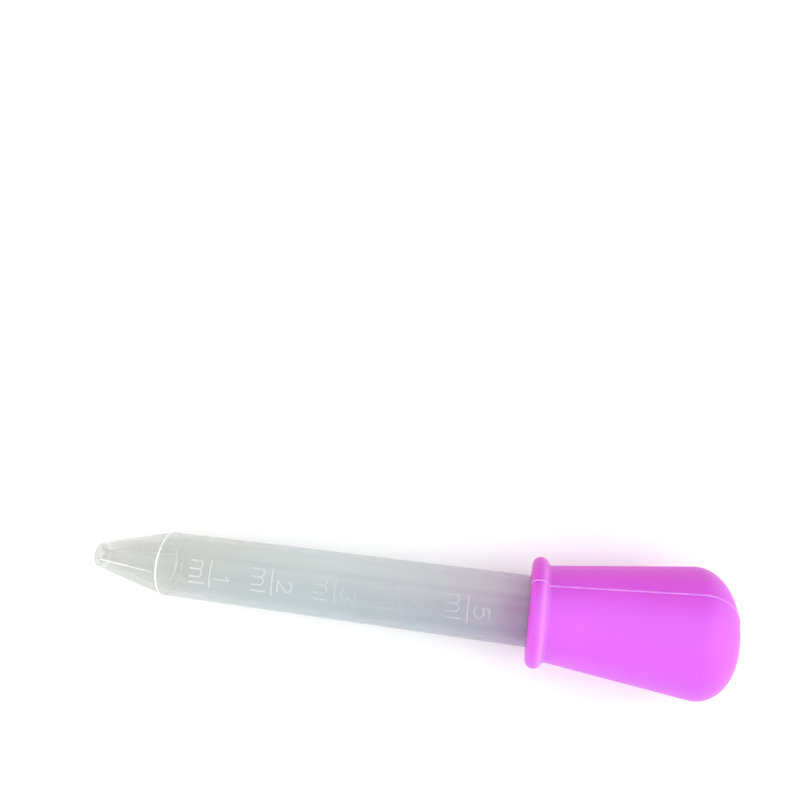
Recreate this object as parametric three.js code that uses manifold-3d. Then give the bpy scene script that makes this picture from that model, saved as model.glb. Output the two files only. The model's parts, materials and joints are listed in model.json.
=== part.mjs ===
// Medicine dropper: a graduated plastic barrel with a silicone squeeze bulb over its open end.
//
// Every piece is drawn about the dropper's own axis, in millimetres from the tip end, and the
// whole is then laid on the table: tip towards -X, bulb towards +X, +Z up, the origin on the
// table under the middle. It rests on the bulb's widest circle and the barrel's cone edge.

import * as THREE from "three";
import { mergeVertices } from "three/addons/utils/BufferGeometryUtils.js";
import Module from "manifold-3d";

const wasm = await Module();
wasm.setup();

// ---- Driving dimensions. A station is a distance from the tip end along the axis. ----

const LENGTH = 120;
const GAP = 0.3; // clearance that stands in for a stretch fit or a slit
const TURN_STEPS = 24; // facets round a turned piece: few enough that it lies still on a flat
const EDGE_STEPS = 4; // facets of the tip's rounding
const RIM_STEPS = 10; // facets of the rim's half round
const DOME_STEPS = 10;
const SLIVER = 0.01; // edges shorter than this are closed up after a join

const TIP_RADIUS = 2.53;
const TIP_EDGE = 0.7; // rounding of the tip's outer edge
const TIP_BORE = 1.2; // radius of the hole that the drops leave by
const TIP_LAND = 2.2; // length of the hole before it widens
const CONE_END = 14.8;
const BARREL_RADIUS = 6.05; // outside, where the cone ends
const BARREL_END = 95.5;
const BARREL_END_RADIUS = 6.4; // outside, at the open end: the barrel tapers for moulding
const BARREL_WALL = 1.05;

const RIM_START = 84.4;
const RIM_THICKNESS = 3;
const RIM_RADIUS = 9.85;
const NECK_RADIUS = 8.5; // outside of the bulb just past its rim
const WIDEST_STATION = 113;
const WIDEST_RADIUS = 11.4;
const DOME_FLAT = 2; // radius of the nearly flat middle of the dome
const DOME_LEAN = THREE.MathUtils.degToRad(5); // the wall's slope where the dome takes over
const BULB_WALL = 1.9;
const SOCKET_END = 96.5; // the bulb's bore past the barrel's end
const CAVITY_START = 98.5;
const CAVITY_RADIUS = 8; // where the hollow opens out behind the socket
const MOUTH_CHAMFER = 0.4;

const PAD_START = 98.8; // the wall that finger and thumb press in, one on each side
const PAD_END = 114.4;
const PAD_HALF_WIDTH = 6; // the two stay clear of each other when both are fully pressed
const PAD_CORNER = 3;

const MARK_COUNT = 5;
const FIRST_MARK = 25.6; // station of the 1 ml line
const MARK_SPACING = 12.05;
const MARK_TURN = THREE.MathUtils.degToRad(75); // from the -Y side towards the top
const MARK_LINE = 4.9; // length of a graduation line, round the barrel
const STROKE_WIDTH = 0.32;
const STROKE_HEIGHT = 0.2; // how far the raised marks stand out of the barrel
const STROKE_ROOT = 0.3; // how far their bodies reach into the wall

const SEAM_TURN = THREE.MathUtils.degToRad(118); // mould parting plane of the bulb, from -Y
const BULB_ROLL = Math.PI / 2 - SEAM_TURN; // turns the bulb about its axis into that place
const FLAT_SHARE = Math.cos(Math.PI / TURN_STEPS); // a facet's distance from the axis, over the radius
const REST_TILT = Math.atan2(
  (WIDEST_RADIUS - BARREL_RADIUS) * FLAT_SHARE,
  WIDEST_STATION - CONE_END,
);

const POLYPROPYLENE = { color: 0xd3dcdf, roughness: 0.35, metalness: 0 };
const SILICONE = { color: 0xb65ce8, roughness: 0.6, metalness: 0 };

// ---- Helpers ----

/** Points [radius, station] of an elliptical arc in a turned profile. */
function profileArc(radius, station, radiusSpan, stationSpan, from, to, steps) {
  return Array.from({ length: steps + 1 }, (_, i) => {
    const angle = from + ((to - from) * i) / steps;
    return [radius + radiusSpan * Math.cos(angle), station + stationSpan * Math.sin(angle)];
  });
}

/** A closed geometry with shared vertices, as a solid that can be joined and cut. */
function toSolid(geometry) {
  const bare = geometry.clone();
  bare.deleteAttribute("normal");
  bare.deleteAttribute("uv");
  const merged = mergeVertices(bare, 1e-5);
  const mesh = new wasm.Mesh({
    numProp: 3,
    vertProperties: new Float32Array(merged.attributes.position.array),
    triVerts: new Uint32Array(merged.index.array),
  });
  return new wasm.Manifold(mesh);
}

function toGeometry(solid) {
  const mesh = solid.getMesh();
  const geometry = new THREE.BufferGeometry();
  geometry.setAttribute("position", new THREE.BufferAttribute(mesh.vertProperties, 3));
  geometry.setIndex(new THREE.BufferAttribute(mesh.triVerts, 1));
  geometry.computeVertexNormals();
  return geometry;
}

/** Turns a profile of [radius, station] points about the X axis, with a facet square to -Z after
 * the piece has been rolled by the given angle. */
function turned(profile, roll) {
  const points = profile.map(([radius, station]) => new THREE.Vector2(radius, station));
  const lathe = new THREE.LatheGeometry(points, TURN_STEPS).rotateZ(-Math.PI / 2);
  return lathe.rotateX(Math.PI / TURN_STEPS - roll);
}

function namedMesh(name, geometry, look) {
  const mesh = new THREE.Mesh(geometry, new THREE.MeshStandardMaterial(look));
  mesh.name = name;
  return mesh;
}

// ---- Barrel ----

function barrelRadius(station) {
  const share = (station - CONE_END) / (BARREL_END - CONE_END);
  return THREE.MathUtils.lerp(BARREL_RADIUS, BARREL_END_RADIUS, share);
}

/** Tube, cone and tip in one moulding, open at both ends. */
function barrelTube() {
  const flat = TIP_RADIUS - TIP_EDGE;
  const edge = profileArc(flat, TIP_EDGE, TIP_EDGE, TIP_EDGE, -Math.PI / 2, 0, EDGE_STEPS);
  const profile = [
    [TIP_BORE, 0],
    ...edge,
    [BARREL_RADIUS, CONE_END],
    [BARREL_END_RADIUS, BARREL_END],
    [BARREL_END_RADIUS - BARREL_WALL, BARREL_END],
    [BARREL_RADIUS - BARREL_WALL, CONE_END + GAP],
    [TIP_BORE, TIP_LAND],
    [TIP_BORE, 0],
  ];
  return toSolid(turned(profile, 0));
}

// ---- Raised graduations: strokes given as [across, up] points in a label's own plane ----

/** Points of an elliptical arc in a label, angles in degrees from the reading direction. */
function strokeArc(across, up, halfWidth, halfHeight, from, to, steps = 7) {
  return Array.from({ length: steps + 1 }, (_, i) => {
    const angle = THREE.MathUtils.degToRad(from + ((to - from) * i) / steps);
    return [across + halfWidth * Math.cos(angle), up + halfHeight * Math.sin(angle)];
  });
}

function line(from, to, steps = 1) {
  return Array.from({ length: steps + 1 }, (_, i) => [
    THREE.MathUtils.lerp(from[0], to[0], i / steps),
    THREE.MathUtils.lerp(from[1], to[1], i / steps),
  ]);
}

const DIGIT_HEIGHT = 2.7;
const DIGIT_BASE = 1.15; // above the graduation line
const UNIT_BASE = -3.95; // below the graduation line
const UNIT_HEIGHT = 2.8;
const SMALL_HEIGHT = 2.35; // of the letter m
const ARCH = 0.72; // half the width of one arch of the m

const DIGITS = [
  [[...line([0.1, 2.05], [0.72, DIGIT_HEIGHT]), [0.72, 0]]],
  [[...strokeArc(0.4, 1.95, 0.95, 0.75, 165, -30, 8), [-0.6, 0], [1.4, 0]]],
  [[...strokeArc(0.35, 2, 0.85, 0.7, 160, -75, 7), ...strokeArc(0.35, 0.7, 1, 0.7, 75, -160, 7)]],
  [[[0.8, DIGIT_HEIGHT], [-0.7, 0.85], [1.4, 0.85]], [[0.8, 1.5], [0.8, 0]]],
  [[[1.3, DIGIT_HEIGHT], [-0.35, DIGIT_HEIGHT], [-0.5, 1.45],
    ...strokeArc(0.35, 0.86, 1, 0.86, 130, -155, 9)]],
];

function unitStrokes() {
  const left = -2.2;
  const top = SMALL_HEIGHT - ARCH;
  const arch = (start) => [
    ...strokeArc(start + ARCH, top, ARCH, ARCH, 165, 0, 5),
    [start + 2 * ARCH, 0],
  ];
  const stem = line([left, 0], [left, SMALL_HEIGHT]);
  const letterL = line([left + 4 * ARCH + 1.15, 0], [left + 4 * ARCH + 1.15, UNIT_HEIGHT]);
  return [stem, arch(left), arch(left + 2 * ARCH), letterL];
}

/** A stroke's section: side of its middle line, and depth from the barrel's surface. */
const STROKE_CORNERS = [
  [1, -STROKE_ROOT],
  [-1, -STROKE_ROOT],
  [-1, STROKE_HEIGHT],
  [1, STROKE_HEIGHT],
];

/** One stroke as a closed strip bent round the barrel, its ends squared off. */
function strokeSolid(points, station) {
  const half = STROKE_WIDTH / 2;
  const positions = [];
  const place = ([across, up], depth) => {
    const radius = barrelRadius(station + up);
    const angle = MARK_TURN - across / radius;
    const reach = radius + depth;
    return [station + up, -reach * Math.cos(angle), reach * Math.sin(angle)];
  };
  points.forEach((point, i) => {
    const before = points[Math.max(i - 1, 0)];
    const after = points[Math.min(i + 1, points.length - 1)];
    const length = Math.hypot(after[0] - before[0], after[1] - before[1]);
    const along = [(after[0] - before[0]) / length, (after[1] - before[1]) / length];
    const end = (i === points.length - 1 ? half : 0) - (i === 0 ? half : 0);
    const middle = [point[0] + along[0] * end, point[1] + along[1] * end];
    for (const [side, depth] of STROKE_CORNERS) {
      const offset = [middle[0] - along[1] * half * side, middle[1] + along[0] * half * side];
      positions.push(...place(offset, depth));
    }
  });
  const index = [0, 1, 2, 0, 2, 3];
  for (let i = 0; i < points.length - 1; i += 1) {
    for (let side = 0; side < 4; side += 1) {
      const a = 4 * i + side;
      const b = 4 * i + ((side + 1) % 4);
      index.push(a, b + 4, b, a, a + 4, b + 4);
    }
  }
  const last = 4 * (points.length - 1);
  index.push(last, last + 2, last + 1, last, last + 3, last + 2);
  const geometry = new THREE.BufferGeometry();
  geometry.setAttribute("position", new THREE.Float32BufferAttribute(positions, 3));
  geometry.setIndex(index);
  return toSolid(geometry);
}

function graduationSolids() {
  const solids = [];
  const lift = (strokes, up) => strokes.map((stroke) => stroke.map(([x, y]) => [x, y + up]));
  for (let mark = 0; mark < MARK_COUNT; mark += 1) {
    const strokes = [
      line([-MARK_LINE / 2, 0], [MARK_LINE / 2, 0], 6),
      ...lift(unitStrokes(), UNIT_BASE),
      ...lift(DIGITS[mark], DIGIT_BASE),
    ];
    const station = FIRST_MARK + mark * MARK_SPACING;
    solids.push(...strokes.map((stroke) => strokeSolid(stroke, station)));
  }
  return solids;
}

function barrel() {
  const solid = graduationSolids().reduce((sum, stroke) => sum.add(stroke), barrelTube());
  return namedMesh("barrel", toGeometry(solid.simplify(SLIVER)), POLYPROPYLENE);
}

// ---- Bulb ----

/** Outer dome points from where the cone ends to the pole, or the inner ones a wall inside. */
function dome(inset) {
  const across = WIDEST_RADIUS - DOME_FLAT - inset;
  const along = LENGTH - WIDEST_STATION - inset;
  return profileArc(DOME_FLAT, WIDEST_STATION, across, along, -DOME_LEAN, Math.PI / 2, DOME_STEPS);
}

/** The whole hollow moulding: rolled rim, neck, cone and dome. */
function bulbShell() {
  const half = RIM_THICKNESS / 2;
  const socket = BARREL_END_RADIUS + GAP;
  const round = [-Math.PI / 2, Math.PI / 2];
  const rim = profileArc(RIM_RADIUS - half, RIM_START + half, half, half, ...round, RIM_STEPS);
  const profile = [
    [socket + MOUTH_CHAMFER, RIM_START],
    ...rim,
    [NECK_RADIUS, RIM_START + RIM_THICKNESS],
    ...dome(0),
    [0, LENGTH],
  ];
  const inside = [
    [0, LENGTH - BULB_WALL],
    ...dome(BULB_WALL).reverse(),
    [CAVITY_RADIUS, CAVITY_START],
    [socket, SOCKET_END],
    [socket, RIM_START + MOUTH_CHAMFER],
  ];
  const closed = [...inside, ...profile, inside[0]];
  return toSolid(turned(closed, BULB_ROLL));
}

/** A block whose outline is a finger pad, reaching from the middle plane out to one side. */
function padBlock(inset, side) {
  const width = PAD_HALF_WIDTH - inset;
  const length = PAD_END - PAD_START - 2 * inset;
  const corner = PAD_CORNER - inset;
  const shape = new THREE.Shape();
  const left = PAD_START + inset;
  const right = left + length;
  shape.moveTo(left + corner, -width);
  shape.lineTo(right - corner, -width);
  shape.absarc(right - corner, -width + corner, corner, -Math.PI / 2, 0, false);
  shape.lineTo(right, width - corner);
  shape.absarc(right - corner, width - corner, corner, 0, Math.PI / 2, false);
  shape.lineTo(left + corner, width);
  shape.absarc(left + corner, width - corner, corner, Math.PI / 2, Math.PI, false);
  shape.lineTo(left, -width + corner);
  shape.absarc(left + corner, -width + corner, corner, Math.PI, 1.5 * Math.PI, false);
  const reach = WIDEST_RADIUS + 2;
  const options = { depth: reach, bevelEnabled: false, curveSegments: 5 };
  const geometry = new THREE.ExtrudeGeometry(shape, options);
  return toSolid(geometry.rotateX(side * (Math.PI / 2)));
}

/** The bulb as its own body with a pressed wall on each side of the parting plane. */
function bulbPieces() {
  const shell = bulbShell();
  const front = shell.intersect(padBlock(GAP, 1));
  const back = shell.intersect(padBlock(GAP, -1));
  const body = shell.subtract(padBlock(0, 1)).subtract(padBlock(0, -1));
  return [
    namedMesh("bulb", toGeometry(body), SILICONE),
    namedMesh("bulb_front_wall", toGeometry(front), SILICONE),
    namedMesh("bulb_back_wall", toGeometry(back), SILICONE),
  ];
}

// ---- Assembly ----

function dropper() {
  const bulb = new THREE.Group();
  bulb.add(...bulbPieces());
  bulb.rotation.x = BULB_ROLL;

  const lying = new THREE.Group();
  lying.add(barrel(), bulb);
  lying.rotation.y = -REST_TILT;

  const whole = new THREE.Group();
  whole.add(lying);
  whole.updateMatrixWorld(true);
  const box = new THREE.Box3().setFromObject(whole, true);
  const middle = box.getCenter(new THREE.Vector3());
  lying.position.set(-middle.x, -middle.y, -box.min.z);
  return whole;
}

export default dropper();
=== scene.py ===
"""Medicine dropper: the finished look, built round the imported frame.

Every shape is drawn in the dropper's own directions and then placed by the frame. A station is
the distance from the tip end along the axis. The angle of a turned shape goes about the axis,
from the side where the bulb's front wall is pressed towards the parting line. Lengths are in
metres, apart from the label's strokes, which are drawn in millimetres.
"""

import json
import math

import bpy
import numpy as np
from mathutils import Matrix, Quaternion, Vector


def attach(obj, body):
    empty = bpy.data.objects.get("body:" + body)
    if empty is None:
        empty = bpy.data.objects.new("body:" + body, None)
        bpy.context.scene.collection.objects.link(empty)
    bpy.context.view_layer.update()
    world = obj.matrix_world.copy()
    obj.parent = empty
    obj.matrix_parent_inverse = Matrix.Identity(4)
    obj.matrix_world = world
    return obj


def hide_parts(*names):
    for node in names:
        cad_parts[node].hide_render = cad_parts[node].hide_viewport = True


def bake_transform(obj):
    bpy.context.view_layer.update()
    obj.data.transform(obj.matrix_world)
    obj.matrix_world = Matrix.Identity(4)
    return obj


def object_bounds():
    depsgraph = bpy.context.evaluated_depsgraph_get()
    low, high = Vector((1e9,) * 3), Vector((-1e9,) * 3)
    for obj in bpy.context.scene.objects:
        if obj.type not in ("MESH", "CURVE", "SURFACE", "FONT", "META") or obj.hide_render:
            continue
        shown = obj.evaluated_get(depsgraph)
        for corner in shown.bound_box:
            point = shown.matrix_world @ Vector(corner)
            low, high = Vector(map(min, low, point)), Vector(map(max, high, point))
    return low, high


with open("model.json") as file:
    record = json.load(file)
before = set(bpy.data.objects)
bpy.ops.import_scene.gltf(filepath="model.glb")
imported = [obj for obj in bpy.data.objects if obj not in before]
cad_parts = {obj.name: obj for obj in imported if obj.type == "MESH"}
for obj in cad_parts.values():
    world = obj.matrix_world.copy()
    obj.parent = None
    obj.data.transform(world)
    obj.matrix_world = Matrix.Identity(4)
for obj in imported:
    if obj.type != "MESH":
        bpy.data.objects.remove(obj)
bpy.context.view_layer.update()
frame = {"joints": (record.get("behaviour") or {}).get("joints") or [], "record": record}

MM = 0.001
QUARTER = math.pi / 2
FULL_TURN = 2 * math.pi

# ---- Directions and places that the frame gives ----


def joint_axis(name):
    joint = next(j for j in frame["joints"] if j["name"] == name)
    return np.array(Vector(joint["axis"]).normalized())


def mount_point(name):
    mount = next(m for m in frame["record"]["mounts"] if m["name"] == name)
    return np.array(mount["pos_m"], float)


AXIS = joint_axis("bulb_pull_off")
OUT_FRONT = -joint_axis("squeeze_front")  # from the axis out through the front wall
OUT_SEAM = np.cross(AXIS, OUT_FRONT)  # from the axis out through the parting line
UP = np.array([0.0, 0.0, 1.0])
OUT_TOP = UP - (UP @ AXIS) * AXIS
OUT_TOP /= np.linalg.norm(OUT_TOP)
TIP = mount_point("tip_end") * np.array([1.0, 0.0, 1.0])  # the mount lies straight beside the axis
RIM_START = float((mount_point("rim_underside") - TIP) @ AXIS)

# ---- Driving dimensions ----

LENGTH = 120 * MM

TIP_RADIUS = 2.53 * MM
TIP_EDGE = 0.7 * MM  # rounding of the tip's outer edge
TIP_BORE = 1.2 * MM
TIP_LAND = 2.2 * MM  # where the bore starts to widen
CONE_END = 14.8 * MM
CONE_BLEND = 0.25 * MM  # half the length of the soft corner between cone and tube
BARREL_RADIUS = 6.05 * MM  # where the cone ends
BARREL_END = 95.5 * MM
BARREL_END_RADIUS = 6.4 * MM
BARREL_WALL = 1.05 * MM
BORE_STEP = 0.08 * MM  # from the tube's bore down to the cone's
BORE_BEVEL = 0.15 * MM
OPEN_END_ROUND = 0.25 * MM
OPEN_END_BEVEL = 0.2 * MM

RIM_THICKNESS = 3 * MM
RIM_RADIUS = 9.85 * MM
NECK_RADIUS = 8.5 * MM
NECK_FILLET = 0.45 * MM
RIM_STOPS_SHORT, FILLET_STARTS_LATE = 0.25, 0.35  # radians, where the two arcs meet
BULB_CONE_SLOPE = 0.1
WIDEST_STATION = 113 * MM
WIDEST_RADIUS = 11.4 * MM
DOME_FLAT = 2 * MM  # radius of the flat at the pole
DOME_LEAN = math.radians(5)  # how much of the dome's curve lies before the widest station
BULB_WALL = 1.9 * MM
SOCKET_RADIUS = BARREL_END_RADIUS + 0.3 * MM
SOCKET_END = 96.5 * MM
CAVITY_START = 98.5 * MM
MOUTH_ROUND = 0.4 * MM

# Fine lines: how far they stand proud, how deep their root is, and half their width
CONE_LINE_PROUD, CONE_LINE_ROOT, CONE_LINE_HALF_WIDTH = 0.10 * MM, 0.12 * MM, 0.17 * MM
CONE_LINE_SUNK = 0.03 * MM
TIP_LIP_SIZE = 0.32 * MM
TIP_LIP_OUT = 0.2 * MM  # from the edge of the hole to the middle of the bead
CREASE_STATION = CONE_END - 0.7 * MM
CREASE_PROUD, CREASE_HALF_WIDTH, CREASE_SUNK = 0.18 * MM, 0.26 * MM, 0.02 * MM
FLASH_TURN = math.radians(65)  # mould line of the barrel, from the -Y side towards the top
FLASH_START, FLASH_LENGTH = TIP_EDGE + 0.9 * MM, 12.2 * MM
FLASH_PROUD, FLASH_HALF_WIDTH = 0.08 * MM, 0.14 * MM
FLASH_TAPER = 0.6  # how much of its size it has lost where it runs out
PARTING_PROUD, PARTING_ROOT, PARTING_HALF_WIDTH = 0.11 * MM, 0.12 * MM, 0.17 * MM

MARK_COUNT = 5
FIRST_MARK = 25.6 * MM
MARK_SPACING = 12.05 * MM
MARK_TURN = math.radians(75)  # from the -Y side towards the top

TURN_STEPS = 192
HALF_TURN_STEPS = 112
TUBE_STEPS = 60  # along the barrel
BEAD_STEPS = 6  # over the round top of a bead
BEAD_SHARP = 60  # degrees, so that the buried edges of a bead stay sharp
BARREL_SHARP = 40  # degrees, so that only its bevels have edges


# ---- Mesh helpers ----


def mesh_object(name, points, faces, sharp_degrees=None):
    mesh = bpy.data.meshes.new(name)
    mesh.from_pydata([tuple(p) for p in points], [], [tuple(f) for f in faces])
    mesh.validate()
    mesh.update()
    mesh.shade_smooth()
    if sharp_degrees:
        mesh.set_sharp_from_angle(angle=math.radians(sharp_degrees))
    obj = bpy.data.objects.new(name, mesh)
    bpy.context.scene.collection.objects.link(obj)
    return obj


def on_axis(station, radius, side):
    """The point at a station, a radius away from the axis in the direction side."""
    return TIP + AXIS * station + radius * side


def side_at(angle):
    """The direction out of the axis, turned from the front wall towards the parting line."""
    return math.cos(angle) * OUT_FRONT + math.sin(angle) * OUT_SEAM


def barrel_side(turn):
    """The direction out of the axis, turned from the -Y side towards the top."""
    return -math.cos(turn) * np.array([0.0, 1.0, 0.0]) + math.sin(turn) * OUT_TOP


def arc(radius, station, radius_span, station_span, start, end, steps):
    """Profile points (station, radius) of an elliptical arc."""
    angles = np.linspace(start, end, steps + 1)
    return [
        (station + station_span * math.sin(a), radius + radius_span * math.cos(a)) for a in angles
    ]


def straight(start, end, steps):
    """Profile points of a straight stretch, so that it can bend and its faces stay short."""
    shares = np.linspace(0, 1, steps + 1)
    return [tuple(np.array(start) * (1 - t) + np.array(end) * t) for t in shares]


def without_repeats(profile, least=1e-6):
    kept = [profile[0]]
    for point in profile[1:]:
        if math.dist(point, kept[-1]) > least:
            kept.append(point)
    return kept


def turned(name, profile, start, end, steps, closed_turn, sharp_degrees=None):
    """A closed profile of (station, radius) points turned about the axis from start to end.

    A full turn joins up with itself. A part turn is capped at both ends by the profile itself.
    """
    profile = without_repeats(profile)
    count = len(profile)
    angles = np.linspace(start, end, steps + 1)[: steps if closed_turn else steps + 1]
    points = [on_axis(s, r, side_at(a)) for a in angles for s, r in profile]
    faces = []
    rings = len(angles)
    for i in range(rings if closed_turn else rings - 1):
        j = (i + 1) % rings
        for k in range(count):
            n = (k + 1) % count
            faces.append((i * count + k, j * count + k, j * count + n, i * count + n))
    if not closed_turn:
        last = (rings - 1) * count
        faces.append(tuple(range(count)))
        faces.append(tuple(last + k for k in reversed(range(count))))
    return mesh_object(name, points, faces, sharp_degrees)


def full_turn(name, profile, sharp_degrees=None):
    return turned(name, profile, 0, FULL_TURN, TURN_STEPS, True, sharp_degrees)


def bead_section(proud, root):
    """Points (across, rise) of a bead with a round top and a buried root, across from 1 to -1."""
    top = [(math.cos(a), proud * math.sin(a)) for a in np.linspace(0, math.pi, BEAD_STEPS + 1)]
    return [*top, (-1.0, -root), (1.0, -root)]


def bead_faces(first, rings, size, other_way=False):
    """Faces of a bar that is capped at both ends and made of rings of size points each.

    first is the number of the bar's first point. other_way is for rings whose points run the
    other way round.
    """
    faces = []
    for i in range(rings - 1):
        for k in range(size):
            a, b = first + i * size + k, first + i * size + (k + 1) % size
            if other_way:
                faces.append((a, a + size, b + size, b))
            else:
                faces.append((a, b, b + size, a + size))
    start_cap = tuple(first + k for k in range(size))
    end_cap = tuple(first + (rings - 1) * size + k for k in range(size))
    if other_way:
        return faces + [start_cap, end_cap[::-1]]
    return faces + [start_cap[::-1], end_cap]


# ---- Barrel ----


def barrel_radius(station):
    share = (station - CONE_END) / (BARREL_END - CONE_END)
    return BARREL_RADIUS + (BARREL_END_RADIUS - BARREL_RADIUS) * share


def bore_cone_radius(station):
    share = (station - TIP_LAND) / (CONE_END - TIP_LAND)
    widest = BARREL_RADIUS - BARREL_WALL - BORE_STEP
    return TIP_BORE + (widest - TIP_BORE) * share


def make_barrel():
    """Tip, cone and tube in one moulding with its bore, as one closed skin."""
    past_side = 0.1  # radians: the tip's rounding runs a little past its widest point
    middle = TIP_RADIUS - TIP_EDGE
    edge = arc(middle, TIP_EDGE, TIP_EDGE, TIP_EDGE, -QUARTER, past_side, steps=8)
    cone_foot = (CONE_END - CONE_BLEND, BARREL_RADIUS - 0.3 * CONE_BLEND)
    tube_start = (CONE_END + CONE_BLEND, barrel_radius(CONE_END))
    end_station = BARREL_END - OPEN_END_ROUND
    end_radius = BARREL_END_RADIUS - OPEN_END_ROUND
    bore_radius = BARREL_END_RADIUS - BARREL_WALL
    open_end = arc(
        end_radius, end_station, OPEN_END_ROUND, OPEN_END_ROUND, 0, QUARTER, steps=5
    )
    bore_end = (BARREL_END - 1 * MM, bore_radius)
    bore_start = (CONE_END + 2 * CONE_BLEND, BARREL_RADIUS - BARREL_WALL)
    bore_cone_end = (CONE_END, bore_cone_radius(CONE_END))

    profile = [(BORE_BEVEL, TIP_BORE), (0, TIP_BORE + BORE_BEVEL), *edge]
    profile += straight(edge[-1], cone_foot, steps=16)
    profile += straight(tube_start, (end_station, BARREL_END_RADIUS), TUBE_STEPS)
    profile += open_end
    profile += [(BARREL_END, bore_radius + OPEN_END_BEVEL)]
    profile += [(BARREL_END - OPEN_END_BEVEL, bore_radius)]
    profile += straight(bore_end, bore_start, TUBE_STEPS)
    profile += straight(bore_cone_end, (TIP_LAND, TIP_BORE), steps=14)
    return full_turn("barrel_moulding", profile, BARREL_SHARP)


def make_cone_ring():
    """The fine raised line where the tube meets its cone, a half-round ring with a buried root."""
    middle = BARREL_RADIUS - CONE_LINE_SUNK
    width = CONE_LINE_HALF_WIDTH
    top = arc(middle, CONE_END, CONE_LINE_PROUD, width, -QUARTER, QUARTER, steps=8)
    root = arc(middle, CONE_END, -CONE_LINE_ROOT, width, QUARTER, -QUARTER, steps=4)
    ring = top + root[1:-1]
    return full_turn("barrel_cone_line", ring)


def make_tip_lip():
    """The bead round the hole at the tip, standing just proud of the bore and the end."""
    size = TIP_LIP_SIZE
    lip = arc(TIP_BORE + TIP_LIP_OUT, size / 2, size, size, 0, FULL_TURN, steps=16)[:-1]
    return full_turn("barrel_tip_lip", lip)


def make_inner_crease():
    """The fine line inside, just where the bore starts to narrow."""
    radius = bore_cone_radius(CREASE_STATION) + CREASE_SUNK
    width = CREASE_HALF_WIDTH
    ring = arc(radius, CREASE_STATION, -CREASE_PROUD, width, -QUARTER, QUARTER, steps=8)
    return full_turn("barrel_inner_crease", ring)


def make_flash_lines():
    """The two fine lines that the mould halves leave along the cone, running out as it widens."""
    section = bead_section(FLASH_PROUD, FLASH_PROUD)
    slope = (BARREL_RADIUS - TIP_RADIUS) / (CONE_END - TIP_EDGE)
    shares = np.linspace(0, 1, 40)
    corners, faces = [], []
    for turn in (FLASH_TURN, FLASH_TURN + math.pi):
        faces += bead_faces(len(corners), len(shares), len(section))
        side = barrel_side(turn)
        along_wall = np.cross(AXIS, side)
        for share in shares:
            station = FLASH_START + FLASH_LENGTH * share
            radius = TIP_RADIUS + slope * (station - TIP_EDGE)
            size = 1 - FLASH_TAPER * share**2
            for across, rise in section:
                spot = on_axis(station, radius + rise * size, side)
                corners.append(spot + along_wall * across * FLASH_HALF_WIDTH * size)
    return mesh_object("barrel_flash_lines", corners, faces, BEAD_SHARP)


# ---- Raised graduations: strokes as (across, up) points in millimetres ----

MARK_LINE = 4.9
STROKE_HALF = 0.16
STROKE_PROUD = 0.18
STROKE_ROOT = 0.12
DIGIT_HEIGHT = 2.7
DIGIT_BASE = 1.15
UNIT_BASE = -3.95
UNIT_HEIGHT = 2.8
UNIT_LEFT = -2.2
SMALL_HEIGHT = 2.35
ARCH = 0.72  # radius of the arches of the m
LETTER_GAP = 1.15
STROKE_STEP = 0.3  # longest straight piece, so that a stroke bends with the barrel


def stroke_arc(across, up, half_width, half_height, start, end, steps=14):
    angles = np.radians(np.linspace(start, end, steps + 1))
    return [(across + half_width * math.cos(a), up + half_height * math.sin(a)) for a in angles]


def digit_strokes(value):
    if value == 1:
        return [[(0.1, 2.05), (0.72, DIGIT_HEIGHT), (0.72, 0)]]
    if value == 2:
        return [stroke_arc(0.4, 1.95, 0.95, 0.75, 165, -30) + [(-0.6, 0), (1.4, 0)]]
    if value == 3:
        upper = stroke_arc(0.35, 2, 0.85, 0.7, 160, -75)
        return [upper + stroke_arc(0.35, 0.7, 1, 0.7, 75, -160)]
    if value == 4:
        return [[(0.8, DIGIT_HEIGHT), (-0.7, 0.85), (1.4, 0.85)], [(0.8, 1.5), (0.8, 0)]]
    top = [(1.3, DIGIT_HEIGHT), (-0.35, DIGIT_HEIGHT), (-0.5, 1.45)]
    return [top + stroke_arc(0.35, 0.86, 1, 0.86, 130, -155, 18)]


def unit_strokes():
    """The letters m and l."""
    spring = SMALL_HEIGHT - ARCH
    strokes = [[(UNIT_LEFT, 0), (UNIT_LEFT, SMALL_HEIGHT)]]
    for start in (UNIT_LEFT, UNIT_LEFT + 2 * ARCH):
        arch = stroke_arc(start + ARCH, spring, ARCH, ARCH, 165, 0, 10)
        strokes.append(arch + [(start + 2 * ARCH, 0)])
    right = UNIT_LEFT + 4 * ARCH + LETTER_GAP
    strokes.append([(right, 0), (right, UNIT_HEIGHT)])
    return strokes


def finely(points):
    """The same stroke with points no more than a step apart."""
    fine = [points[0]]
    for a, b in zip(points, points[1:]):
        parts = max(1, math.ceil(math.dist(a, b) / STROKE_STEP))
        step = np.array(b) - np.array(a)
        fine += [tuple(np.array(a) + step * i / parts) for i in range(1, parts + 1)]
    return fine


def with_round_ends(points):
    """The stroke as (point, size) pairs, with a few shrinking ones added at either end."""
    start, end = np.array(points[0]), np.array(points[-1])
    out_of_start = (start - np.array(points[1])) / math.dist(points[0], points[1])
    out_of_end = (end - np.array(points[-2])) / math.dist(points[-1], points[-2])
    turns = [math.radians(turn) for turn in np.linspace(15, 80, 4)]
    reaches = [(STROKE_HALF * math.sin(turn), math.cos(turn)) for turn in turns]
    spots = [(start + out_of_start * reach, size) for reach, size in reversed(reaches)]
    spots += [(np.array(p), 1.0) for p in points]
    spots += [(end + out_of_end * reach, size) for reach, size in reaches]
    return spots


def on_barrel(spot, station, depth):
    """A label's point, wrapped round the barrel and raised by depth, in millimetres."""
    across, up = spot
    at = station + up * MM
    radius = barrel_radius(at)
    return on_axis(at, radius + depth * MM, barrel_side(MARK_TURN - across * MM / radius))


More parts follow.
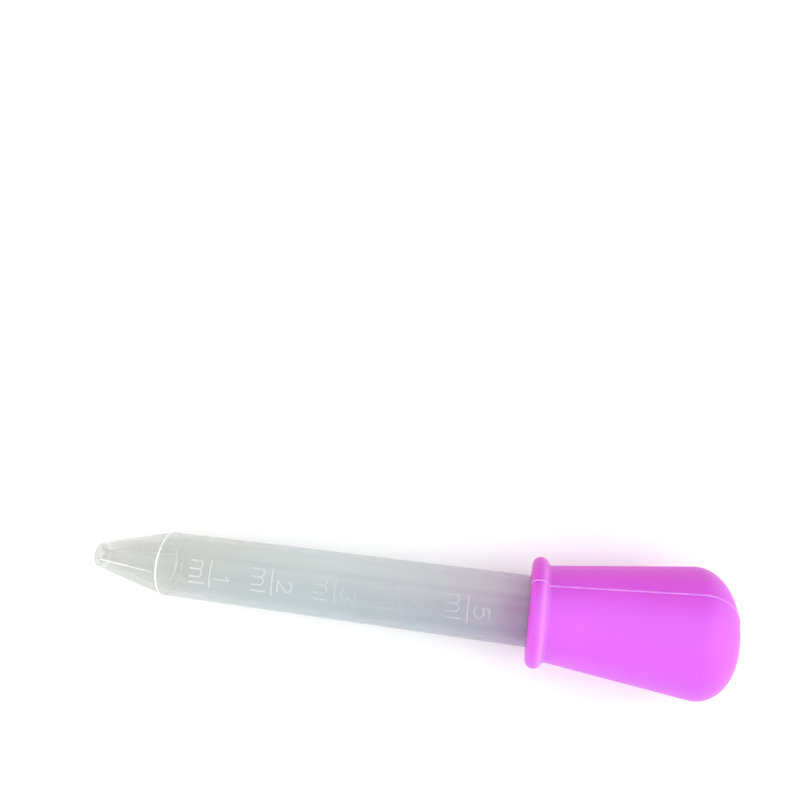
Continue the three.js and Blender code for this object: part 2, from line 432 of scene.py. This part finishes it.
def stroke_mesh(points, station, first):
    """A round-topped bead along a stroke, bent round the barrel, with round ends."""
    spots = with_round_ends(finely(points))
    section = bead_section(STROKE_PROUD, STROKE_ROOT)
    corners = []
    for i, (middle, size) in enumerate(spots):
        before = spots[max(i - 1, 0)][0]
        after = spots[min(i + 1, len(spots) - 1)][0]
        along = (after - before) / np.linalg.norm(after - before)
        sideways = np.array([-along[1], along[0]])
        for across, rise in section:
            depth = rise * size if rise >= 0 else rise
            corners.append(
                on_barrel(middle + sideways * across * STROKE_HALF * size, station, depth)
            )
    return corners, bead_faces(first, len(spots), len(section), other_way=True)


def make_marks():
    """Five graduation lines, each with its numeral above and the unit below."""
    corners, faces = [], []
    for mark in range(MARK_COUNT):
        strokes = [[(-MARK_LINE / 2, 0), (MARK_LINE / 2, 0)]]
        strokes += [[(x, y + UNIT_BASE) for x, y in s] for s in unit_strokes()]
        strokes += [[(x, y + DIGIT_BASE) for x, y in s] for s in digit_strokes(mark + 1)]
        for stroke in strokes:
            made = stroke_mesh(stroke, FIRST_MARK + mark * MARK_SPACING, len(corners))
            corners += made[0]
            faces += made[1]
    return mesh_object("barrel_raised_marks", corners, faces, BEAD_SHARP)


# ---- Bulb ----


def dome(inset, steps):
    across = WIDEST_RADIUS - DOME_FLAT - inset
    along = LENGTH - WIDEST_STATION - inset
    return arc(DOME_FLAT, WIDEST_STATION, across, along, -DOME_LEAN, QUARTER, steps)


def bulb_outside():
    """Profile of the outside, from the lower face of the rim to the pole of the dome."""
    half = RIM_THICKNESS / 2
    rim_end = QUARTER - RIM_STOPS_SHORT
    rim = arc(RIM_RADIUS - half, RIM_START + half, half, half, -QUARTER, rim_end, steps=24)
    fillet = arc(
        NECK_RADIUS + NECK_FILLET,
        RIM_START + RIM_THICKNESS + NECK_FILLET,
        -NECK_FILLET,
        -NECK_FILLET,
        QUARTER - FILLET_STARTS_LATE,
        0,
        steps=6,
    )
    cap = dome(0, steps=36)
    cone = straight(fillet[-1], cap[0], steps=48)[1:-1]
    return rim + fillet + cone + cap + [(LENGTH, 0)]


def bulb_inside():
    """Profile of the inside, from the pole back to the mouth."""
    cavity_radius = NECK_RADIUS + BULB_CONE_SLOPE * (CAVITY_START - RIM_START) - BULB_WALL
    cap = dome(BULB_WALL, steps=24)[::-1]
    socket_start = (RIM_START + 2 * MOUTH_ROUND, SOCKET_RADIUS)
    mouth = arc(
        SOCKET_RADIUS + MOUTH_ROUND,
        RIM_START + MOUTH_ROUND,
        -MOUTH_ROUND,
        -MOUTH_ROUND,
        0,
        QUARTER,
        steps=5,
    )
    profile = [(LENGTH - BULB_WALL, 0), *cap]
    profile += straight(cap[-1], (CAVITY_START, cavity_radius), steps=18)[1:]
    profile += straight((SOCKET_END, SOCKET_RADIUS), socket_start, steps=12)
    return profile + mouth


def make_half_skin(name, start):
    """One side of the bulb, from one parting line round to the other, outside and inside."""
    profile = bulb_outside() + bulb_inside()
    return turned(name, profile, start, start + math.pi, HALF_TURN_STEPS, False)


def make_parting_line():
    """The fine raised flash line that the two mould halves leave, right over the dome."""
    outside = without_repeats(bulb_outside())
    spots = [np.array([s, r]) for s, r in outside]
    spots += [np.array([s, -r]) for s, r in outside[-2::-1]]
    section = bead_section(PARTING_PROUD, PARTING_ROOT)
    points = []
    for i, spot in enumerate(spots):
        along = spots[min(i + 1, len(spots) - 1)] - spots[max(i - 1, 0)]
        along /= np.linalg.norm(along)
        outward = np.array([-along[1], along[0]])
        for across, rise in section:
            station, radius = spot + outward * rise
            sideways = OUT_FRONT * (across * PARTING_HALF_WIDTH)
            points.append(on_axis(station, radius, OUT_SEAM) + sideways)
    faces = bead_faces(0, len(spots), len(section))
    return mesh_object("bulb_parting_line", points, faces, BEAD_SHARP)


# ---- Nodes ----


def new_material(name):
    material = bpy.data.materials.new(name)
    material.use_nodes = True
    tree = material.node_tree
    return material, tree, tree.nodes["Principled BSDF"]


def add(tree, kind, **values):
    node = tree.nodes.new(kind)
    for key, value in values.items():
        setattr(node, key, value)
    return node


def set_sockets(node, values):
    for name, value in values.items():
        node.inputs[name].default_value = value


def own_coordinates(tree, carried_by=None):
    """Metres in the dropper's own directions: X from the tip end along the axis, Z its upper side.

    With carried_by they go along with that piece when it moves.
    """
    coordinates = add(tree, "ShaderNodeTexCoord", object=carried_by)
    turned_to = add(tree, "ShaderNodeMapping", vector_type="TEXTURE")
    across = np.cross(OUT_TOP, AXIS)
    turn = Matrix((AXIS, across, OUT_TOP)).transposed().to_euler()
    set_sockets(turned_to, {"Location": TIP, "Rotation": turn})
    tree.links.new(coordinates.outputs["Object"], turned_to.inputs["Vector"])
    return turned_to.outputs["Vector"]


def noise(tree, scale, detail, stretch=(1, 1, 1)):
    """Noise stretched along the dropper's own directions; scale is features per metre."""
    mapping = add(tree, "ShaderNodeMapping")
    texture = add(tree, "ShaderNodeTexNoise")
    set_sockets(mapping, {"Scale": stretch})
    set_sockets(texture, {"Scale": scale, "Detail": detail})
    tree.links.new(own_coordinates(tree), mapping.inputs["Vector"])
    tree.links.new(mapping.outputs["Vector"], texture.inputs["Vector"])
    return texture.outputs["Fac"]


def colour_of(value):
    return (*value, 1) if isinstance(value, tuple) else (value, value, value, 1)


def stops_ramp(tree, share, stops):
    """A colour or strength that changes with share, given as (share, value) stops."""
    node = add(tree, "ShaderNodeValToRGB")
    elements = node.color_ramp.elements
    while len(elements) < len(stops):
        elements.new(0.5)
    for element, (place, value) in zip(elements, stops):
        element.position = place
        element.color = colour_of(value)
    tree.links.new(share, node.inputs["Fac"])
    return node.outputs["Color"]


def noise_ramp(tree, value, low, high, reach=0.2):
    """From low to high as a noise goes from reach below its middle to reach above it."""
    return stops_ramp(tree, value, ((0.5 - reach, low), (0.5 + reach, high)))


def own_share(tree, direction, start, end, carried_by=None):
    """How far a point lies from start to end along one of the dropper's own directions."""
    parts = add(tree, "ShaderNodeSeparateXYZ")
    share = add(tree, "ShaderNodeMapRange")
    set_sockets(share, {"From Min": start, "From Max": end})
    tree.links.new(own_coordinates(tree, carried_by), parts.inputs["Vector"])
    tree.links.new(parts.outputs[direction], share.inputs["Value"])
    return share.outputs["Result"]


def station_ramp(tree, stops, carried_by=None):
    """A colour or strength that changes along the dropper, given as (station, value) stops."""
    shares = [(station / LENGTH, value) for station, value in stops]
    return stops_ramp(tree, own_share(tree, "X", 0, LENGTH, carried_by), shares)


def multiply(tree, first, second, amount=None):
    """first times second, or less of second where amount is below 1."""
    node = add(tree, "ShaderNodeMix", data_type="RGBA", blend_type="MULTIPLY")
    node.inputs["Factor"].default_value = 1
    if amount is not None:
        tree.links.new(amount, node.inputs["Factor"])
    tree.links.new(first, node.inputs["A"])
    tree.links.new(second, node.inputs["B"])
    return node.outputs["Result"]


def bump(tree, height, strength, distance):
    node = add(tree, "ShaderNodeBump")
    set_sockets(node, {"Strength": strength, "Distance": distance})
    tree.links.new(height, node.inputs["Height"])
    return node.outputs["Normal"]


# ---- Materials ----

# Shades and strengths along the dropper are (station, value) stops. Shades and reach across it
# are (share of its width, value) stops, from its -Y side to its +Y side.

SILICONE_PIGMENTS = ((0.63, 0.106, 0.74), (0.665, 0.116, 0.785))  # darkest and palest clouds
# Painted light: the parting line paler than the wall.
PARTING_LINE_PAINTED_LIGHT = ((0.73, 0.20, 0.82), (0.81, 0.27, 0.89))
RIM_PAINTED_LIGHT = (  # painted highlight, paler on its edge towards the bulb, and painted shade, a little deeper on its face towards the tip
    (RIM_START, (1.06, 0.78, 0.94)),
    (RIM_START + 1.7 * MM, (1.0, 1.0, 1.0)),
    (RIM_START + 2.3 * MM, (1.10, 2.05, 1.05)),
    (RIM_START + 2.9 * MM, (1.10, 2.05, 1.05)),
    (RIM_START + 3.4 * MM, (1.0, 1.0, 1.0)),
)
# Painted shade: the bulb darker and more magenta towards its +Y side, a little darker at its -Y
# side, and less of it over the dome.
BULB_SIDE_PAINTED_SHADE = (
    (0.0, (0.95, 0.82, 0.98)),
    (0.14, 1.0),
    (0.55, 1.0),
    (0.78, (1.0, 0.66, 0.87)),
    (0.93, (1.0, 0.37, 0.76)),
    (1.0, (1.0, 0.32, 0.74)),
)
BULB_SIDE_PAINTED_SHADE_STRENGTH = ((104 * MM, 1.0), (115 * MM, 0.7))

# Painted shade: the tip's end and the mouth of its bore darker than the cone.
TIP_PAINTED_SHADE = (0.34, 0.35, 0.33)
TIP_PAINTED_SHADE_END = 0.4 * MM
BORE_TIP_PAINTED_SHADE = (0.42, 0.43, 0.41)
CONE_TINT = (0.59, 0.59, 0.555)
TINT_CHANGE = 0.6 * MM  # from the tip's painted shade to the cone's tint
TUBE_TINTS = (
    (20 * MM, (0.60, 0.635, 0.62)),
    (45 * MM, (0.65, 0.72, 0.75)),
    (66 * MM, (0.60, 0.62, 0.69)),
)
# Painted light: the tube turns violet beside the bulb, the bulb's colour cast on it, and how much
# shows across the tube.
PAINTED_BULB_LIGHT = (
    (66 * MM, 1.0),
    (78 * MM, (0.94, 0.77, 0.91)),
    (RIM_START - 3 * MM, (0.88, 0.50, 0.82)),
)
PAINTED_BULB_LIGHT_REACH = (  # how much of it shows across the tube
    (0.0, 0.80),
    (0.35, 0.80),
    (0.46, 1.0),
    (0.54, 0.85),
    (0.62, 0.85),
    (0.70, 0.52),
    (1.0, 0.58),
)
# Flow bands across the tube with painted light on them: its -Y side darker, its +Y side painted
# lighter.
FLOW_BANDS_AND_PAINTED_LIGHT = (
    (0.00, (0.62, 0.68, 0.70)),
    (0.22, (0.76, 0.80, 0.79)),
    (0.32, (0.75, 0.78, 0.77)),
    (0.46, (0.79, 0.80, 0.77)),
    (0.54, (0.89, 0.89, 0.84)),
    (0.62, (0.84, 0.85, 0.82)),
    (0.70, (1.05, 1.05, 0.99)),
    (0.80, (1.10, 1.09, 1.02)),
    (0.88, (1.05, 1.03, 0.97)),
    (0.95, (0.96, 0.94, 0.90)),
    (1.00, (0.88, 0.87, 0.85)),
)
FLOW_BANDS_AND_PAINTED_LIGHT_STRENGTH = ((0, 0.40), (20 * MM, 0.50), (50 * MM, 1.0))
OUTSIDE_MILK = (  # how opaque, clearer in a narrow band at the tip's rounded edge
    (0, 0.40),
    (0.3 * MM, 0.32),
    (0.5 * MM, 0.14),
    (0.9 * MM, 0.16),
    (1.4 * MM, 0.38),
    (19 * MM, 0.39),
    (27 * MM, 0.50),
    (84 * MM, 0.56),
)
BORE_MILK = (
    (0, 0.26),
    (TIP_LAND, 0.24),
    (4.5 * MM, 0.12),
    (20 * MM, 0.11),
    (84 * MM, 0.18),
)
RAISED_WHITES = ((0.84, 0.86, 0.82), (0.94, 0.95, 0.91))
RAISED_PAINTED_HIGHLIGHT = (  # painted highlight, crisp at the tip and fainter towards the middle
    (0, 1.0),
    (18 * MM, 0.95),
    (24 * MM, 0.46),
    (42 * MM, 0.40),
    (52 * MM, 0.20),
    (64 * MM, 0.09),
    (74 * MM, 0.28),
)
RAISED_TINTS = ((24 * MM, (1.0, 1.0, 1.0)), (70 * MM, (0.96, 1.0, 1.09)))
STREAK_STRETCH = (0.010, 1, 1)  # long along the tube
STREAK_REACH = 0.14  # either side of the noise's middle
PAPER_WHITES = ((0.94, 0.94, 0.94), (0.97, 0.97, 0.97))


def silicone():
    """Matte moulded silicone: a soft violet with a fine eggshell grain and faint cloudiness."""
    material, tree, shader = new_material("silicone_violet")
    cloud = noise(tree, scale=90, detail=3)
    grain = noise(tree, scale=4200, detail=2)
    pigment = noise_ramp(tree, cloud, *SILICONE_PIGMENTS)
    # Painted highlight and painted shade on the rim.
    rim = station_ramp(tree, RIM_PAINTED_LIGHT)
    # Painted shade across the bulb, darker towards its +Y side.
    across = own_share(tree, "Y", -WIDEST_RADIUS, WIDEST_RADIUS)
    side = stops_ramp(tree, across, BULB_SIDE_PAINTED_SHADE)
    painted_shade_strength = station_ramp(tree, BULB_SIDE_PAINTED_SHADE_STRENGTH)
    colour = multiply(tree, multiply(tree, pigment, rim), side, painted_shade_strength)
    tree.links.new(colour, shader.inputs["Base Color"])
    tree.links.new(noise_ramp(tree, cloud, 0.40, 0.48), shader.inputs["Roughness"])
    eggshell = bump(tree, grain, strength=0.25, distance=0.04 * MM)
    tree.links.new(eggshell, shader.inputs["Normal"])
    set_sockets(
        shader,
        {
            "IOR": 1.41,
            "Specular IOR Level": 0.6,
            "Subsurface Weight": 0.35,
            "Subsurface Radius": (1.0, 0.35, 1.0),
            "Subsurface Scale": 1.5 * MM,
        },
    )
    return material


def silicone_line():
    """The parting line is painted paler than the wall: painted light, for the light that its thin
    flash lets through.
    """
    material, tree, shader = new_material("silicone_parting_line")
    cloud = noise(tree, scale=700, detail=2)
    pigment = noise_ramp(tree, cloud, *PARTING_LINE_PAINTED_LIGHT)
    tree.links.new(pigment, shader.inputs["Base Color"])
    tree.links.new(noise_ramp(tree, cloud, 0.35, 0.5), shader.inputs["Roughness"])
    set_sockets(shader, {"Subsurface Weight": 0.3, "Subsurface Scale": 0.8 * MM})
    return material


def polypropylene(name, tip, tip_end, milk, bulb_piece):
    """Natural polypropylene: milky, see-through, with long flow bands along the tube, and painted
    light across it that makes its +Y side lighter.

    tip is a darker painted shade as far as tip_end. From there it runs from a warm grey to a
    bluish tube.
    Beside the bulb it turns violet, painted light that stands for the bulb's colour cast down the
    wall, and that goes along with bulb_piece. milk is how opaque one skin of the wall is.
    """
    material, tree, shader = new_material(name)
    # Painted shade at the tip.
    painted_tip_shade = ((0, tip), (tip_end, tip), (tip_end + TINT_CHANGE, CONE_TINT))
    tint = station_ramp(tree, (*painted_tip_shade, *TUBE_TINTS))
    # Painted violet light from the bulb, which goes along with the bulb.
    violet = station_ramp(tree, PAINTED_BULB_LIGHT, bulb_piece)
    across = own_share(tree, "Y", -BARREL_RADIUS, BARREL_RADIUS)
    reach = stops_ramp(tree, across, PAINTED_BULB_LIGHT_REACH)
    # Flow bands with painted light, lighter towards the +Y side.
    flow = stops_ramp(tree, across, FLOW_BANDS_AND_PAINTED_LIGHT)
    bands_and_painted_light_strength = station_ramp(tree, FLOW_BANDS_AND_PAINTED_LIGHT_STRENGTH)
    bands = noise(tree, scale=420, detail=1, stretch=STREAK_STRETCH)
    haze = noise(tree, scale=140, detail=4)
    grain = noise(tree, scale=2600, detail=2)
    streaks = noise_ramp(tree, bands, 0.90, 1.06, STREAK_REACH)
    thickness = noise_ramp(tree, bands, 1.08, 0.92, STREAK_REACH)
    streaked = multiply(tree, multiply(tree, tint, violet, reach), streaks)
    colour = multiply(tree, streaked, flow, bands_and_painted_light_strength)
    opaque = multiply(tree, station_ramp(tree, milk), thickness)
    tree.links.new(colour, shader.inputs["Base Color"])
    tree.links.new(opaque, shader.inputs["Alpha"])
    tree.links.new(noise_ramp(tree, haze, 0.16, 0.26), shader.inputs["Roughness"])
    moulded = bump(tree, grain, strength=0.08, distance=0.03 * MM)
    tree.links.new(moulded, shader.inputs["Normal"])
    set_sockets(shader, {"IOR": 1.45, "Specular IOR Level": 1.0})
    return material


def raised_plastic():
    """The same plastic where it stands proud: thicker, so it reads as cloudy white."""
    material, tree, shader = new_material("polypropylene_raised")
    haze = noise(tree, scale=900, detail=3)
    cloudy = noise_ramp(tree, haze, *RAISED_WHITES)
    colour = multiply(tree, cloudy, station_ramp(tree, RAISED_TINTS))
    tree.links.new(colour, shader.inputs["Base Color"])
    # Painted highlight: how strongly the raised plastic shows along the dropper.
    tree.links.new(station_ramp(tree, RAISED_PAINTED_HIGHLIGHT), shader.inputs["Alpha"])
    tree.links.new(noise_ramp(tree, haze, 0.25, 0.4), shader.inputs["Roughness"])
    set_sockets(shader, {"IOR": 1.45})
    return material


def finish_piece(piece, material):
    piece.data.materials.clear()
    piece.data.materials.append(material)


def line_bore(piece, material):
    """Gives the faces that look towards the axis a material of their own."""
    piece.data.materials.append(material)
    for face in piece.data.polygons:
        from_axis = np.array(face.center) - TIP
        from_axis -= (from_axis @ AXIS) * AXIS
        face.material_index = int(from_axis @ np.array(face.normal) < 0)


# ---- The pieces and what they move with ----

rubber, rubber_line = silicone(), silicone_line()

parting_line = make_parting_line()
finish_piece(parting_line, rubber_line)
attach(parting_line, "bulb")

plastic = polypropylene(
    "polypropylene_outside", TIP_PAINTED_SHADE, TIP_PAINTED_SHADE_END, OUTSIDE_MILK, parting_line
)
plastic_bore = polypropylene(
    "polypropylene_bore", BORE_TIP_PAINTED_SHADE, TIP_LAND, BORE_MILK, parting_line
)
plastic_raised = raised_plastic()

barrel = make_barrel()
finish_piece(barrel, plastic)
line_bore(barrel, plastic_bore)
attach(barrel, "barrel")
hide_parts("barrel")

for detail in (
    make_cone_ring(),
    make_inner_crease(),
    make_tip_lip(),
    make_flash_lines(),
    make_marks(),
):
    finish_piece(detail, plastic_raised)
    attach(detail, "barrel")


def bend_half(skin):
    """Bakes the skin's placement into its mesh.
    """
    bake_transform(skin)


front = make_half_skin("bulb_skin_front", -QUARTER)
back = make_half_skin("bulb_skin_back", QUARTER)
for skin, body, node, outward in (
    (front, "front_wall", "bulb_front_wall", OUT_FRONT),
    (back, "back_wall", "bulb_back_wall", -OUT_FRONT),
):
    finish_piece(skin, rubber)
    bend_half(skin)
    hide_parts(node, "bulb")

# ---- Floor, light and camera ----

FLOOR_SIZE = 8  # metres, so that its edge is far off in a low view
FLOOR_ROUGHNESS = 0.8
CAMERA_AT = (0.01398, -0.01361, 0.16117)
CAMERA_TARGET = (-0.00473, 0.03801, 0.008)
CAMERA_ROLL = math.radians(-12.6)
CAMERA_LENS = 36.16  # mm
CAMERA_SENSOR = 36  # mm
CAMERA_NEAREST = 5 * MM
AMBIENT = 0.40  # strength of the light from all round
AMBIENT_COLOUR = (1.0, 0.95, 0.92)
SOFT_LIGHTS = (  # direction it comes from, cosines where it starts and is full, strength, colour
    ((0.05, -0.20, 0.95), (0.45, 0.95), 0.91, (0.95, 0.98, 1.0)),
    ((0.0, -1.0, 0.35), (0.20, 0.90), 0.32, (0.92, 0.96, 1.0)),
    ((1.0, 0.10, 0.38), (0.55, 0.97), 1.5, (0.95, 0.98, 1.0)),
    ((-1.0, -0.10, 0.45), (0.50, 0.95), 0.76, (1.0, 0.97, 0.95)),
)


def make_floor():
    half = FLOOR_SIZE / 2
    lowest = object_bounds()[0][2]
    square = ((-half, -half), (half, -half), (half, half), (-half, half))
    corners = [(x, y, lowest) for x, y in square]
    floor = mesh_object("floor", corners, [(0, 1, 2, 3)])
    material, tree, shader = new_material("floor_paper")
    fibre = noise(tree, scale=60, detail=3)
    paper = noise_ramp(tree, fibre, *PAPER_WHITES)
    tree.links.new(paper, shader.inputs["Base Color"])
    set_sockets(shader, {"Roughness": FLOOR_ROUGHNESS})
    floor.data.materials.append(material)


def make_world():
    """Soft studio light all round, with large soft sources added where SOFT_LIGHTS points."""
    world = bpy.data.worlds.new("studio")
    world.use_nodes = True
    tree = world.node_tree
    background = tree.nodes["Background"]
    coordinates = add(tree, "ShaderNodeTexCoord")
    light = add(tree, "ShaderNodeVectorMath", operation="SCALE")
    light.inputs[0].default_value = AMBIENT_COLOUR
    light.inputs["Scale"].default_value = AMBIENT
    total = light.outputs["Vector"]
    for towards, (starts, full), strength, colour in SOFT_LIGHTS:
        facing = add(tree, "ShaderNodeVectorMath", operation="DOT_PRODUCT")
        facing.inputs[1].default_value = Vector(towards).normalized()
        share = add(tree, "ShaderNodeMapRange", interpolation_type="SMOOTHSTEP")
        set_sockets(share, {"From Min": starts, "From Max": full, "To Max": strength})
        one = add(tree, "ShaderNodeVectorMath", operation="SCALE")
        one.inputs[0].default_value = colour
        both = add(tree, "ShaderNodeVectorMath", operation="ADD")
        tree.links.new(coordinates.outputs["Generated"], facing.inputs[0])
        tree.links.new(facing.outputs["Value"], share.inputs["Value"])
        tree.links.new(share.outputs["Result"], one.inputs["Scale"])
        tree.links.new(total, both.inputs[0])
        tree.links.new(one.outputs["Vector"], both.inputs[1])
        total = both.outputs["Vector"]
    tree.links.new(total, background.inputs["Color"])
    bpy.context.scene.world = world


def make_camera():
    camera = bpy.data.objects.new("camera", bpy.data.cameras.new("camera"))
    camera.data.lens = CAMERA_LENS
    camera.data.sensor_width = CAMERA_SENSOR
    camera.data.clip_start = CAMERA_NEAREST
    camera.location = CAMERA_AT
    aim = (Vector(CAMERA_TARGET) - Vector(CAMERA_AT)).to_track_quat("-Z", "Y")
    camera.rotation_mode = "QUATERNION"
    camera.rotation_quaternion = aim @ Quaternion((0, 0, 1), CAMERA_ROLL)
    bpy.context.scene.collection.objects.link(camera)
    bpy.context.scene.camera = camera


make_floor()
make_world()
make_camera()
bpy.context.scene.view_settings.view_transform = "Standard"
